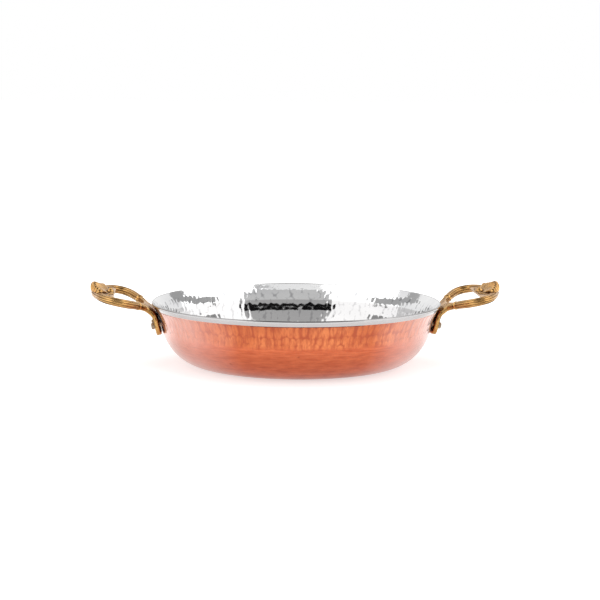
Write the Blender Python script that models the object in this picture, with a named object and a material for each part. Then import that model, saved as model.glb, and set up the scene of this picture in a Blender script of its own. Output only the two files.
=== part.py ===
"""Round copper serving pan with a tinned inside and two riveted cast brass loop handles.

Metres, +Z up. The origin is the centre of the flat base, on the surface that the pan stands on.
The handles stand out along +X and -X. Both are one casting, turned half round the pan.
"""

import math

import bmesh
import bpy
from mathutils import Matrix, Vector

# Gap that pieces keep where they seat on each other, and how far a cutter runs past what it cuts
SEAT_GAP = 0.0003
CUT_OVERRUN = 0.004

# Copper bowl: the outer side of its wall, from the flat base through the belly and waist to the lip
RIM_RADIUS = 0.130
PAN_HEIGHT = 0.055
FLARE_REACH = 0.0093
BELLY_REACH = 0.0357
WAIST_DROP = 0.0225
BASE_PULL = 0.0201
WAIST_PULL = 0.0137
FLARE_PULL = 0.0080
LIP_PULL = 0.0060
WALL_LEAN = math.radians(11.5)
LIP_LEAN = math.radians(32)
COPPER_THICKNESS = 0.0015

# Tin lining: the skin over the inside, which laps over the lip and down outside it
TIN_THICKNESS = 0.0003
TIN_LAP = 0.0052

# Cast handle, side view: a plate against the wall, a neck under the lip and an arched loop
PLATE_DROP = 0.0280
PLATE_HEIGHT = 0.0150
PLATE_LEAN = math.radians(13)
PLATE_THICKNESS = 0.0044
NECK_DROP = 0.0072
NECK_SLOPE = math.radians(39)
NECK_PULL = 0.0028
NECK_THICKNESS = 0.0042
LOOP_LENGTH = 0.0505
LOOP_RISE = 0.0088
LOOP_ROOT_PULL = 0.0170
LOOP_TIP_PULL = 0.0200
LOOP_TIP_SLOPE = math.radians(6)

# Cast handle, seen from above: the strap of plate and neck, and the wide loop of reeded arms
PLATE_HALF_WIDTH = 0.0205
PLATE_CORNER = 0.0090
NECK_HALF_WIDTH = 0.0195
NECK_LENGTH = 0.0115
NECK_NOTCH = 0.0050
LOOP_HALF_WIDTH = 0.0440
ARM_WIDTH = 0.0072
ARM_THICKNESS = 0.0066
REED_DEPTH = 0.0005
# Places along one arm: share of the loop's length, share of its half width, share of the arm's size
ARM_SHARES = (
    (0.00, 0.38, 0.50),
    (0.10, 0.41, 0.66),
    (0.19, 0.52, 0.84),
    (0.28, 0.70, 0.96),
    (0.38, 0.88, 1.00),
    (0.49, 0.98, 1.00),
    (0.60, 0.99, 1.00),
    (0.71, 0.92, 1.00),
    (0.82, 0.76, 1.00),
    (0.91, 0.52, 1.00),
    (0.98, 0.26, 1.00),
    (1.00, 0.00, 1.00),
)

# Cast handle: the shell that fills the outer end of the loop, its lobes curling over the tip
SHELL_LENGTH = 0.0155
SHELL_OVERHANG = 0.0042
SHELL_HEIGHT = 0.0102
SHELL_FLOOR = 0.0017
SHELL_LOBES = 11
SHELL_GROOVE = 0.0016
SHELL_SCALLOP = 0.0020
SHELL_SIDE_HEIGHT_SHARE = 0.42
# Cross section of the shell's middle lobe: share of its reach, share of its height
LOBE_SHARES = (
    (0.10, 0.22),
    (0.30, 0.38),
    (0.52, 0.66),
    (0.72, 0.94),
    (0.86, 1.00),
    (0.97, 0.84),
    (1.00, 0.52),
    (0.93, 0.12),
)
BUTTON_RADIUS = 0.0026
BUTTON_HEIGHT = 0.0046
BUTTON_PLACE_SHARE = 0.20

# Rivets: two to a handle, side by side, with a tall outer head and a flat inner one
RIVET_SPACING = 0.0230
RIVET_DROP = 0.0188
SHANK_RADIUS = 0.0019
OUTER_HEAD_RADIUS = 0.0029
OUTER_HEAD_HEIGHT = 0.0026
INNER_HEAD_RADIUS = 0.0042
INNER_HEAD_HEIGHT = 0.0012
HEAD_CROWN_SHARE = 0.70

# Facets
ROUND_STEPS = 52
BELLY_STEPS = 7
FLARE_STEPS = 4
LAP_STEPS = 3
LIP_ARC_STEPS = 3
ARM_STEPS = 42
ARM_REEDS = 8
PLATE_STEPS = 9
BEND_STEPS = 5
NECK_STEPS = 5
STRAP_SIDES = 16
STRAP_SQUARENESS = 5
LOBE_SIDES = 4
RIVET_SIDES = 16
SEARCH_STEPS = 40
SMOOTH_ANGLE = math.radians(38)

# Surface of each material: colour, roughness, metallic
SURFACES = {
    "copper": ((0.83, 0.38, 0.24), 0.30, 1.0),
    "tin": ((0.74, 0.74, 0.75), 0.22, 1.0),
    "brass": ((0.68, 0.45, 0.18), 0.34, 1.0),
    "rivet_metal": ((0.46, 0.36, 0.27), 0.40, 1.0),
}

WAIST_RADIUS = RIM_RADIUS - FLARE_REACH
BASE_RADIUS = WAIST_RADIUS - BELLY_REACH
WAIST_HEIGHT = PAN_HEIGHT - WAIST_DROP
LINED_THICKNESS = COPPER_THICKNESS + SEAT_GAP + TIN_THICKNESS
LIP_ROUND = LINED_THICKNESS / 2
TIP_RADIUS = RIM_RADIUS + LOOP_LENGTH


def clear_scene():
    for obj in list(bpy.data.objects):
        bpy.data.objects.remove(obj, do_unlink=True)


def surface(name):
    """The Principled material of one named surface."""
    colour, roughness, metallic = SURFACES[name]
    material = bpy.data.materials.get(name) or bpy.data.materials.new(name)
    material.use_nodes = True
    shader = material.node_tree.nodes["Principled BSDF"]
    shader.inputs["Base Color"].default_value = (*colour, 1)
    shader.inputs["Roughness"].default_value = roughness
    shader.inputs["Metallic"].default_value = metallic
    material.diffuse_color = (*colour, 1)
    return material


def solid(name, bm, material_name):
    """A named object made from a closed bmesh, with its faces turned out."""
    bmesh.ops.recalc_face_normals(bm, faces=bm.faces)
    mesh = bpy.data.meshes.new(name)
    bm.to_mesh(mesh)
    bm.free()
    mesh.shade_smooth()
    mesh.set_sharp_from_angle(angle=SMOOTH_ANGLE)
    mesh.materials.append(surface(material_name))
    obj = bpy.data.objects.new(name, mesh)
    bpy.context.scene.collection.objects.link(obj)
    return obj


def combine(target, operation, others):
    """Joins the others to the target or cuts them from it, and removes them."""
    for other in others:
        modifier = target.modifiers.new(operation.lower(), "BOOLEAN")
        modifier.operation = operation
        modifier.solver = "EXACT"
        modifier.object = other
        bpy.context.view_layer.update()
        graph = bpy.context.evaluated_depsgraph_get()
        result = bpy.data.meshes.new_from_object(target.evaluated_get(graph))
        target.modifiers.clear()
        target.data = result
        bpy.data.objects.remove(other, do_unlink=True)
    target.data.shade_smooth()
    target.data.set_sharp_from_angle(angle=SMOOTH_ANGLE)
    return target


def bezier(start, start_pull, end_pull, end, steps):
    """Points of a cubic curve, both ends included."""
    points = []
    for i in range(steps + 1):
        t = i / steps
        s = 1 - t
        points.append(start * s**3 + start_pull * 3 * s * s * t + end_pull * 3 * s * t * t + end * t**3)
    return points


def along(angle):
    """Unit vector that leans outwards from straight up by the angle, in (radius, height)."""
    return Vector((math.sin(angle), math.cos(angle)))


def turned(name, loops, material_name, steps=ROUND_STEPS):
    """Turns a run of (radius, height) points about Z. Its first and last points close flat."""
    bm = bmesh.new()
    rings = []
    for radius, height in loops:
        ring = []
        for i in range(steps):
            angle = math.tau * i / steps
            ring.append(bm.verts.new((radius * math.cos(angle), radius * math.sin(angle), height)))
        rings.append(ring)
    join_rings(bm, rings)
    return solid(name, bm, material_name)


def join_rings(bm, rings, capped=True):
    """Faces between rings of equal count, with a cap on the first and last, or round to the first."""
    pairs = list(zip(rings, rings[1:]))
    if not capped:
        pairs.append((rings[-1], rings[0]))
    for low, high in pairs:
        for i in range(len(low)):
            j = (i + 1) % len(low)
            bm.faces.new((low[i], low[j], high[j], high[i]))
    if capped:
        bm.faces.new(rings[0])
        bm.faces.new(rings[-1])


def wall_curve():
    """Outer side of the wall up to where the tin laps over it, and from there to the lip."""
    base = Vector((BASE_RADIUS, 0))
    waist = Vector((WAIST_RADIUS, WAIST_HEIGHT))
    lip = Vector((RIM_RADIUS, PAN_HEIGHT))
    lap = lip - along(LIP_LEAN) * TIN_LAP
    level = Vector((BASE_PULL, 0))
    belly = bezier(base, base + level, waist - along(WALL_LEAN) * WAIST_PULL, waist, BELLY_STEPS)
    flare = bezier(
        waist, waist + along(WALL_LEAN) * FLARE_PULL, lap - along(LIP_LEAN) * LIP_PULL, lap, FLARE_STEPS
    )
    straight = TIN_LAP - LIP_ROUND
    lapped = [lap + along(LIP_LEAN) * straight * i / LAP_STEPS for i in range(LAP_STEPS + 1)]
    return belly + flare[1:], lapped


def offset(points, first_way, last_way, depth):
    """The points moved inwards by the depth, square to their curve."""
    moved = []
    for i, point in enumerate(points):
        before = point - points[i - 1] if i else first_way
        after = points[i + 1] - point if i + 1 < len(points) else last_way
        way = (before.normalized() + after.normalized()).normalized()
        moved.append(point + Vector((-way.y, way.x)) * depth)
    return moved


def wall_layer(depth):
    """The wall's outer curve moved inwards by the depth: (below the lap, along the lap)."""
    below, lapped = wall_curve()
    level = Vector((1, 0))
    whole = offset(below + lapped[1:], level, along(LIP_LEAN), depth)
    return whole[: len(below)], whole[len(below) - 1 :]


def lip_arc(radius):
    """The rounded top of the lip, from its outer side to its inner side."""
    centre = Vector((RIM_RADIUS, PAN_HEIGHT)) - along(LIP_LEAN) * LIP_ROUND
    outwards = Vector((along(LIP_LEAN).y, -along(LIP_LEAN).x))
    centre = centre - outwards * LIP_ROUND
    points = []
    for i in range(1, LIP_ARC_STEPS):
        angle = math.pi * i / LIP_ARC_STEPS
        points.append(centre + (outwards * math.cos(angle) + along(LIP_LEAN) * math.sin(angle)) * radius)
    return points


def copper_bowl():
    """The bowl. Its lip is thinner by the tin that laps over it."""
    cover = SEAT_GAP + TIN_THICKNESS
    outside, _ = wall_layer(0)
    _, stepped = wall_layer(cover)
    inside_low, inside_lap = wall_layer(COPPER_THICKNESS)
    inside = inside_low + inside_lap[1:]
    profile = outside + stepped + lip_arc(LIP_ROUND - cover) + inside[::-1]
    return turned("copper_body", profile, "copper")


def tin_skin():
    """The lining: floor and wall skin, over the lip and down to just above the step in the copper."""
    back_low, back_lap = wall_layer(COPPER_THICKNESS + SEAT_GAP)
    face_low, face_lap = wall_layer(LINED_THICKNESS)
    lap_start = along(LIP_LEAN) * SEAT_GAP
    _, under = wall_layer(TIN_THICKNESS)
    _, over = wall_layer(0)
    under[0] = under[0] + lap_start
    over[0] = over[0] + lap_start
    back = back_low + back_lap[1:] + lip_arc(LIP_ROUND - TIN_THICKNESS)[::-1] + under[::-1]
    face = over + lip_arc(LIP_ROUND) + (face_low + face_lap[1:])[::-1]
    return turned("tin_lining", back + face, "tin")


def wall_radius(height):
    """Outer radius of the wall at a height."""
    below, lapped = wall_curve()
    points = below + lapped[1:]
    for low, high in zip(points, points[1:]):
        if low.y <= height <= high.y and high.y > low.y:
            return low.x + (high.x - low.x) * (height - low.y) / (high.y - low.y)
    return RIM_RADIUS


def plate_back():
    """A point on the plate's back, level with its bottom, that keeps the seat's gap to the wall."""
    bottom = PAN_HEIGHT - PLATE_DROP
    radius = 0
    for i in range(SEARCH_STEPS + 1):
        rise = PLATE_HEIGHT * i / SEARCH_STEPS
        clear = wall_radius(bottom + rise) + SEAT_GAP / math.cos(PLATE_LEAN)
        radius = max(radius, clear - rise * math.tan(PLATE_LEAN))
    return Vector((radius, bottom))


def side_path():
    """Middle line of the handle seen from the side, as (radius, height): plate, bend and loop."""
    outwards = Vector((along(PLATE_LEAN).y, -along(PLATE_LEAN).x))
    foot = plate_back() + outwards * PLATE_THICKNESS / 2
    top = foot + along(PLATE_LEAN) * PLATE_HEIGHT
    neck = Vector((RIM_RADIUS, PAN_HEIGHT - NECK_DROP))
    tip = Vector((TIP_RADIUS, PAN_HEIGHT + LOOP_RISE))
    neck_way = Vector((math.cos(NECK_SLOPE), math.sin(NECK_SLOPE)))
    tip_way = Vector((math.cos(LOOP_TIP_SLOPE), math.sin(LOOP_TIP_SLOPE)))
    plate = [foot + (top - foot) * i / PLATE_STEPS for i in range(PLATE_STEPS + 1)]
    bend = bezier(top, top + along(PLATE_LEAN) * NECK_PULL, neck - neck_way * NECK_PULL, neck, BEND_STEPS)
    loop = bezier(
        neck, neck + neck_way * LOOP_ROOT_PULL, tip - tip_way * LOOP_TIP_PULL, tip, SEARCH_STEPS
    )
    return plate, bend, loop


def on_path(points, distance):
    """(point, direction) at a distance along a run of points, carried straight on past its end."""
    for low, high in zip(points, points[1:]):
        step = (high - low).length
        if distance <= step or high is points[-1]:
            way = (high - low).normalized()
            return low + way * distance, way
        distance -= step
    return points[-1], (points[-1] - points[-2]).normalized()


def loop_place(radius):
    """(point, direction) on the loop's middle line at a radius from the pan's axis."""
    _, _, loop = side_path()
    for low, high in zip(loop, loop[1:]):
        if radius <= high.x or high is loop[-1]:
            way = (high - low).normalized()
            return low + way * (radius - low.x) / way.x, way
    return loop[-1], way


def path_length(points):
    return sum((high - low).length for low, high in zip(points, points[1:]))


def strap():
    """Plate and neck: one strap with a rounded foot, whose outer end is hollowed for the opening."""
    plate, bend, loop = side_path()
    path = plate + bend[1:] + loop[1:]
    plate_length = path_length(plate)
    neck_start = plate_length + path_length(bend)
    stations = [plate_length * i / PLATE_STEPS for i in range(PLATE_STEPS)]
    stations += [plate_length + path_length(bend) * i / BEND_STEPS for i in range(BEND_STEPS)]
    stations += [neck_start + NECK_LENGTH * i / NECK_STEPS for i in range(NECK_STEPS + 1)]
    bm = bmesh.new()
    rings = []
    for station in stations:
        neck_share = min(1, station / neck_start)
        half_width = PLATE_HALF_WIDTH + (NECK_HALF_WIDTH - PLATE_HALF_WIDTH) * neck_share
        thickness = PLATE_THICKNESS + (NECK_THICKNESS - PLATE_THICKNESS) * neck_share
        short = max(0, 1 - station / PLATE_CORNER)
        half_width -= PLATE_CORNER * (1 - math.sqrt(1 - short * short))
        ring = []
        for k in range(STRAP_SIDES):
            angle = math.tau * (k + 1 / 2) / STRAP_SIDES
            across = math.copysign(abs(math.cos(angle)) ** (2 / STRAP_SQUARENESS), math.cos(angle))
            proud = math.copysign(abs(math.sin(angle)) ** (2 / STRAP_SQUARENESS), math.sin(angle))
            notch = NECK_NOTCH * (1 - across * across) * max(0, station - neck_start) / NECK_LENGTH
            point, way = on_path(path, station - notch)
            point = point + Vector((way.y, -way.x)) * proud * thickness / 2
            ring.append(bm.verts.new((point.x, across * half_width, point.y)))
        rings.append(ring)
    join_rings(bm, rings)
    return solid("strap", bm, "brass")


def smooth_run(points, steps):
    """Points of a smooth curve through all the given ones, evenly shared between them."""
    run = []
    for i in range(steps + 1):
        place = (len(points) - 1) * i / steps
        k = min(int(place), len(points) - 2)
        t = place - k
        p0 = points[max(k - 1, 0)]
        p1, p2 = points[k], points[k + 1]
        p3 = points[min(k + 2, len(points) - 1)]
        square = p0 * 2 - p1 * 5 + p2 * 4 - p3
        cube = p1 * 3 - p0 - p2 * 3 + p3
        run.append((p1 * 2 + (p2 - p0) * t + square * t**2 + cube * t**3) / 2)
    return run


def arm_course():
    """(place along X, place along Y, size share) down one arm, round the tip and back up the other."""
    one = [
        Vector((RIM_RADIUS + LOOP_LENGTH * reach, LOOP_HALF_WIDTH * width, size))
        for reach, width, size in ARM_SHARES
    ]
    other = [Vector((p.x, -p.y, p.z)) for p in one[-2::-1]]
    return smooth_run(one + other, ARM_STEPS)


def loop_arms():
    """The reeded bar of the loop, swept along its course over the arched middle line."""
    course = arm_course()
    bars = []
    for p in course:
        point, way = loop_place(p.x)
        bars.append((Vector((point.x, p.y, point.y)), Vector((-way.y, 0, way.x)), p.z))
    bm = bmesh.new()
    rings = []
    sides = ARM_REEDS * 2
    for i, (centre, up, size) in enumerate(bars):
        ahead = bars[min(i + 1, len(bars) - 1)][0] - bars[max(i - 1, 0)][0]
        side = ahead.cross(up).normalized()
        rise = side.cross(ahead).normalized()
        ring = []
        for k in range(sides):
            angle = math.tau * k / sides
            groove = REED_DEPTH * (k % 2)
            across = side * math.cos(angle) * (ARM_WIDTH / 2 - groove)
            proud = rise * math.sin(angle) * (ARM_THICKNESS / 2 - groove)
            ring.append(bm.verts.new(centre + (across + proud) * size))
        rings.append(ring)
    join_rings(bm, rings)
    return solid("arms", bm, "brass")


def bar_distance(hub_x, angle):
    """How far the middle of the loop's bar lies from the shell's hub, in a direction from above."""
    way = Vector((math.cos(angle), math.sin(angle)))
    course = [Vector((p.x - hub_x, p.y)) for p in arm_course()]
    best = None
    for low, high in zip(course, course[1:]):
        side_low, side_high = way.cross(low), way.cross(high)
        if side_low * side_high <= 0 and side_low != side_high:
            hit = low + (high - low) * side_low / (side_low - side_high)
            if hit.dot(way) > 0:
                best = hit.length
    return best


def shell():
    """The shell: lobes that fan from a hub, rise, and curl down over the loop's outer bar."""
    hub_x = TIP_RADIUS - SHELL_LENGTH
    hub, hub_way = loop_place(hub_x)
    steps = SHELL_LOBES * LOBE_SIDES
    bm = bmesh.new()
    columns = []
    for i in range(steps + 1):
        angle = math.pi * (i / steps - 1 / 2)
        crest = abs(math.sin(math.pi * i / LOBE_SIDES))
        groove = 1 - crest
        side_share = abs(angle) / (math.pi / 2)
        reach = bar_distance(hub_x, angle) + SHELL_OVERHANG * (1 - side_share**2) - SHELL_SCALLOP * groove
        height = SHELL_HEIGHT * (1 + (SHELL_SIDE_HEIGHT_SHARE - 1) * side_share)
        column = []
        for far_share, high_share in LOBE_SHARES:
            out = reach * far_share
            lift = height * high_share - SHELL_GROOVE * groove * high_share
            column.append((out, lift))
        column.append((out, -SHELL_FLOOR))
        places = []
        for out, lift in column:
            x = hub_x + out * math.cos(angle)
            point, way = loop_place(x)
            lifted = point + Vector((-way.y, way.x)) * lift
            places.append(bm.verts.new((lifted.x, out * math.sin(angle), lifted.y)))
        columns.append(places)
    top = bm.verts.new((hub.x, 0, hub.y + SHELL_HEIGHT * LOBE_SHARES[0][1]))
    bottom = bm.verts.new((hub.x, 0, hub.y - SHELL_FLOOR))
    for left, right in zip(columns, columns[1:]):
        bm.faces.new((top, left[0], right[0]))
        bm.faces.new((bottom, right[-1], left[-1]))
        for k in range(len(left) - 1):
            bm.faces.new((left[k], left[k + 1], right[k + 1], right[k]))
    bm.faces.new([top, *columns[0], bottom, *columns[-1][::-1]])
    return solid("shell", bm, "brass")


def shell_button():
    """A small boss on the shell's hub."""
    hub_x = TIP_RADIUS - SHELL_LENGTH * (1 - BUTTON_PLACE_SHARE)
    point, way = loop_place(hub_x)
    crown = BUTTON_HEIGHT * HEAD_CROWN_SHARE
    profile = [
        (BUTTON_RADIUS, 0),
        (BUTTON_RADIUS, crown),
        (BUTTON_RADIUS * HEAD_CROWN_SHARE, BUTTON_HEIGHT),
    ]
    button = turned("button", profile, "brass", RIVET_SIDES)
    tilt = Matrix.Rotation(-math.atan2(way.y, way.x), 4, "Y")
    button.data.transform(Matrix.Translation((point.x, 0, point.y)) @ tilt)
    return button


def rivet_frame(side):
    """Axis of one rivet of the +X handle: its zero is on the plate's outer face, +Z outwards."""
    outwards = Vector((along(PLATE_LEAN).y, -along(PLATE_LEAN).x))
    up = (PLATE_DROP - RIVET_DROP) / math.cos(PLATE_LEAN)
    seat = plate_back() + outwards * PLATE_THICKNESS + along(PLATE_LEAN) * up
    tilt = Matrix.Rotation(math.pi / 2 + PLATE_LEAN, 4, "Y")
    return Matrix.Translation((seat.x, side * RIVET_SPACING / 2, seat.y)) @ tilt


def rivet_hole(side):
    """Cutter for one shank, through plate, copper and lining."""
    reach = PLATE_THICKNESS + LINED_THICKNESS + CUT_OVERRUN
    profile = [(SHANK_RADIUS + SEAT_GAP, -reach), (SHANK_RADIUS + SEAT_GAP, CUT_OVERRUN)]
    hole = turned("hole", profile, "rivet_metal", RIVET_SIDES)
    hole.data.transform(rivet_frame(side))
    return hole


def beyond_lining():
    """Everything outside the lining's face, moved in by the seat's gap: it trims the inner heads."""
    low, lapped = wall_layer(LINED_THICKNESS + SEAT_GAP)
    face = low + lapped[1:]
    far = RIM_RADIUS + CUT_OVERRUN
    ring_points = face + [Vector((far, PAN_HEIGHT)), Vector((far, face[0].y))]
    bm = bmesh.new()
    rings = []
    for i in range(ROUND_STEPS):
        angle = math.tau * i / ROUND_STEPS
        rings.append(
            [bm.verts.new((p.x * math.cos(angle), p.x * math.sin(angle), p.y)) for p in ring_points]
        )
    join_rings(bm, rings, capped=False)
    return solid("beyond_lining", bm, "tin")


def rivet(name, side):
    """One rivet of the +X handle: shank, outer head on the plate and inner head on the lining."""
    depth = PLATE_THICKNESS + wall_gap_at_rivet() + LINED_THICKNESS + SEAT_GAP
    crown = OUTER_HEAD_HEIGHT * HEAD_CROWN_SHARE
    outer = [
        (SHANK_RADIUS, -depth - INNER_HEAD_HEIGHT / 2),
        (SHANK_RADIUS, SEAT_GAP),
        (OUTER_HEAD_RADIUS, SEAT_GAP),
        (OUTER_HEAD_RADIUS, SEAT_GAP + crown),
        (OUTER_HEAD_RADIUS * HEAD_CROWN_SHARE, SEAT_GAP + OUTER_HEAD_HEIGHT),
    ]
    made = turned(name, outer, "rivet_metal", RIVET_SIDES)
    inner = [
        (INNER_HEAD_RADIUS * HEAD_CROWN_SHARE, -depth - INNER_HEAD_HEIGHT),
        (INNER_HEAD_RADIUS, -depth - INNER_HEAD_HEIGHT * HEAD_CROWN_SHARE),
        (INNER_HEAD_RADIUS, -depth + CUT_OVERRUN / 2),
    ]
    head = turned("inner_head", inner, "rivet_metal", RIVET_SIDES)
    for piece in (made, head):
        piece.data.transform(rivet_frame(side))
    combine(head, "DIFFERENCE", [beyond_lining()])
    return combine(made, "UNION", [head])


def wall_gap_at_rivet():
    """Gap from the plate's flat back to the round wall, measured at the rivet."""
    height = PAN_HEIGHT - RIVET_DROP
    radius = wall_radius(height)
    back = plate_back().x + (PLATE_DROP - RIVET_DROP) * math.tan(PLATE_LEAN)
    return back - math.sqrt(radius**2 - (RIVET_SPACING / 2) ** 2)


def handle(name):
    """The +X handle: strap, arms, shell and button joined into one casting with two rivet holes."""
    casting = combine(strap(), "UNION", [loop_arms(), shell(), shell_button()])
    casting.name = name
    return combine(casting, "DIFFERENCE", [rivet_hole(side) for side in (-1, 1)])


def half_turn(obj, name):
    """A copy of an object, turned half round the pan's axis."""
    copy = bpy.data.objects.new(name, obj.data.copy())
    copy.data.transform(Matrix.Rotation(math.pi, 4, "Z"))
    bpy.context.scene.collection.objects.link(copy)
    return copy


def build():
    clear_scene()
    bowl = copper_bowl()
    lining = tin_skin()
    for piece in (bowl, lining):
        cutters = [rivet_hole(side) for side in (-1, 1)]
        for cutter in list(cutters):
            cutters.append(half_turn(cutter, "far_hole"))
        combine(piece, "DIFFERENCE", cutters)
    right = handle("right_handle")
    half_turn(right, "left_handle")
    for place, far_place, side in (("front", "back", -1), ("back", "front", 1)):
        made = rivet(f"right_rivet_{place}", side)
        half_turn(made, f"left_rivet_{far_place}")


build()
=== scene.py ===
# %% [markdown]
# # A hammered copper serving pan, tinned inside, with two cast brass handles
# The real pan is raised from one copper disc: its wall is hammered, its inside is wiped with molten tin,
# and two brass castings are riveted to it. This lesson dresses the plain measured model of the pan.
# The model gives every place and size. Each step below makes the finer piece that stands for one of its
# parts.

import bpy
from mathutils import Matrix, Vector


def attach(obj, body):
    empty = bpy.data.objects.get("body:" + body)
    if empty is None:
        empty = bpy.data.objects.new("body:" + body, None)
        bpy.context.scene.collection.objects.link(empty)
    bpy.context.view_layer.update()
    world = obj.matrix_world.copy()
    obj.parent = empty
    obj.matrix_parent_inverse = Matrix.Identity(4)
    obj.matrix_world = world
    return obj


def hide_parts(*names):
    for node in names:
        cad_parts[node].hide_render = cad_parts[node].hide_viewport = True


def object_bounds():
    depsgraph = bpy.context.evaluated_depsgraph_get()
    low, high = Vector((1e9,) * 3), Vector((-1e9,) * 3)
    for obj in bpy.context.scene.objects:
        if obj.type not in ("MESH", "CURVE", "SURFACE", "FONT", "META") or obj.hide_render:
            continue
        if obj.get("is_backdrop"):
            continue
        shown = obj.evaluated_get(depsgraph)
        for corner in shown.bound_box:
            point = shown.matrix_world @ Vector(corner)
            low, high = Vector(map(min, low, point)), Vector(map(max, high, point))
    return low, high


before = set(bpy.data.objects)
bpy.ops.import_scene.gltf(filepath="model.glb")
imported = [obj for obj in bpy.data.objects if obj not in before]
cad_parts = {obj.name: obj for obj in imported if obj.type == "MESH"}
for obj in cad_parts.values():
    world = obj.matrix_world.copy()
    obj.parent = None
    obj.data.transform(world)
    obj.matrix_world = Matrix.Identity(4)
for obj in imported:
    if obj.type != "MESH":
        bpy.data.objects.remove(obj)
cad_low, cad_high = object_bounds()
print("measured model:", [round(v * 1000, 1) for v in cad_high - cad_low], "mm")

# %% Tools of the lesson
import math

import bpy
import numpy as np
from mathutils import Matrix, Vector

# %% [markdown]
# ## The sizes
# The pan is described by one curve, the outer side of its wall. The copper and the tin are layers of that
# curve, so both are made from the same numbers and nest in each other without touching.

# %% Sizes of the bowl, in metres
RIM_RADIUS = 0.130
PAN_HEIGHT = 0.055
WAIST_RADIUS = 0.1207
BASE_RADIUS = 0.0850
WAIST_HEIGHT = 0.0325
BASE_PULL, WAIST_PULL, FLARE_PULL, LIP_PULL = 0.0201, 0.0137, 0.0080, 0.0060
WALL_LEAN, LIP_LEAN = math.radians(11.5), math.radians(32)
COPPER_THICKNESS = 0.0015
SEAT_GAP = 0.0003
TIN_THICKNESS = 0.0003
TIN_LAP = 0.0052
LINED_THICKNESS = COPPER_THICKNESS + SEAT_GAP + TIN_THICKNESS
LIP_ROUND = LINED_THICKNESS / 2


def mm(value):
    """A length in millimetres, for what the cells print."""
    return round(float(value) * 1000, 2)


print("rim", mm(2 * RIM_RADIUS), "mm across, wall", mm(LINED_THICKNESS), "mm thick with its lining")

# %% [markdown]
# ## Curves of the wall
# A smooth curve between two points needs only the direction it leaves and the direction it arrives.
# A layer of the wall is the same curve moved square to itself.

# %% Curve helpers


def along(angle):
    """Unit vector that leans outwards from straight up, in (radius, height)."""
    return Vector((math.sin(angle), math.cos(angle)))


def bezier(start, start_pull, end_pull, end, steps):
    """Points of a cubic curve, both ends included."""
    points = []
    for i in range(steps + 1):
        t = i / steps
        s = 1 - t
        points.append(start * s**3 + start_pull * 3 * s * s * t + end_pull * 3 * s * t * t + end * t**3)
    return points


def wall_curve(belly_steps, flare_steps, lap_steps):
    """Outer side of the wall up to where the tin laps over it, and from there to the lip."""
    base = Vector((BASE_RADIUS, 0))
    waist = Vector((WAIST_RADIUS, WAIST_HEIGHT))
    lip = Vector((RIM_RADIUS, PAN_HEIGHT))
    lap = lip - along(LIP_LEAN) * TIN_LAP
    belly_out = waist - along(WALL_LEAN) * WAIST_PULL
    belly = bezier(base, base + Vector((BASE_PULL, 0)), belly_out, waist, belly_steps)
    flare_in = waist + along(WALL_LEAN) * FLARE_PULL
    flare = bezier(waist, flare_in, lap - along(LIP_LEAN) * LIP_PULL, lap, flare_steps)
    straight = TIN_LAP - LIP_ROUND
    lapped = [lap + along(LIP_LEAN) * straight * i / lap_steps for i in range(lap_steps + 1)]
    return belly + flare[1:], lapped


def wall_layer(depth, steps):
    """The wall's outer curve moved inwards by the depth: (below the lap, along the lap)."""
    below, lapped = wall_curve(*steps)
    points = below + lapped[1:]
    moved = []
    for i, point in enumerate(points):
        before = point - points[i - 1] if i else Vector((1, 0))
        after = points[i + 1] - point if i + 1 < len(points) else along(LIP_LEAN)
        way = (before.normalized() + after.normalized()).normalized()
        moved.append(point + Vector((-way.y, way.x)) * depth)
    return moved[: len(below)], moved[len(below) - 1 :]


def lip_arc(radius, steps, squareness=2):
    """The top of the lip, from its round outer side to its inner side: 2 is round too, more is flatter."""
    outwards = Vector((along(LIP_LEAN).y, -along(LIP_LEAN).x))
    centre = Vector((RIM_RADIUS, PAN_HEIGHT)) - along(LIP_LEAN) * LIP_ROUND - outwards * LIP_ROUND
    points = []
    for i in range(1, steps):
        angle = math.pi * i / steps
        power = 1 if angle < math.pi / 2 else 2 / squareness
        out = math.copysign(abs(math.cos(angle)) ** power, math.cos(angle))
        points.append(centre + (outwards * out + along(LIP_LEAN) * math.sin(angle) ** power) * radius)
    return points


print("waist of the wall", mm(2 * WAIST_RADIUS), "mm across")

# %% [markdown]
# ## Turning a profile
# A bowl is round, so its outline is drawn once as a chain of points and turned about the middle. The spin
# tool does this too, but slows down with a thousand steps: the screw modifier with no climb is quick.
# Where the chain starts and ends on the axis, the turning leaves many points on one spot: they are merged.

# %% Modelling helpers


def start_clean():
    """Nothing selected and nothing being edited, so that an operator acts only on what comes next."""
    if bpy.context.object and bpy.context.object.mode != "OBJECT":
        bpy.ops.object.mode_set(mode="OBJECT")
    bpy.ops.object.select_all(action="DESELECT")


def only(obj):
    """Makes one object the selected and active one."""
    start_clean()
    obj.select_set(True)
    bpy.context.view_layer.objects.active = obj
    return obj


def close_up(obj, nearest=1e-6):
    """Merges the points that lie on each other and turns all faces out."""
    only(obj)
    bpy.ops.object.mode_set(mode="EDIT")
    bpy.ops.mesh.select_all(action="SELECT")
    bpy.ops.mesh.remove_doubles(threshold=nearest)
    bpy.ops.mesh.normals_make_consistent(inside=False)
    bpy.ops.object.mode_set(mode="OBJECT")
    return obj


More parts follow.
